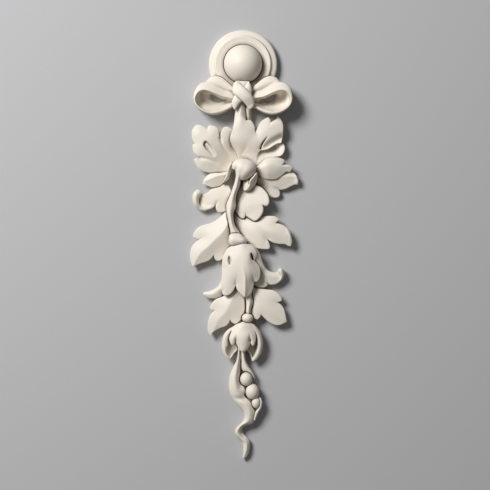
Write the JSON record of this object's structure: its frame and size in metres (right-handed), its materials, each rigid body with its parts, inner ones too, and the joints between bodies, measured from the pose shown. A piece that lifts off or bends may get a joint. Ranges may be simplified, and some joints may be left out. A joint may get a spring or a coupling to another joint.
{
  "type": "drop onlay",
  "caption": "Moulded drop onlay with a flat back: a rosette and tied bow above a hanging spray of leaves, a bell flower and berries.",
  "frame": {"origin": "centre of the rosette, on the flat back face", "axes": "+Z out of the wall through the ornament's front, +Y up the drop towards the rosette, +X to the right seen from the front"},
  "size_m": [0.1082, 0.4277, 0.032],
  "materials": {
    "primed_polyurethane": "factory primed, matte, warm off-white"
  },
  "bodies": {
    "root": {"onlay": "primed_polyurethane"}
  },
  "joints": []
}
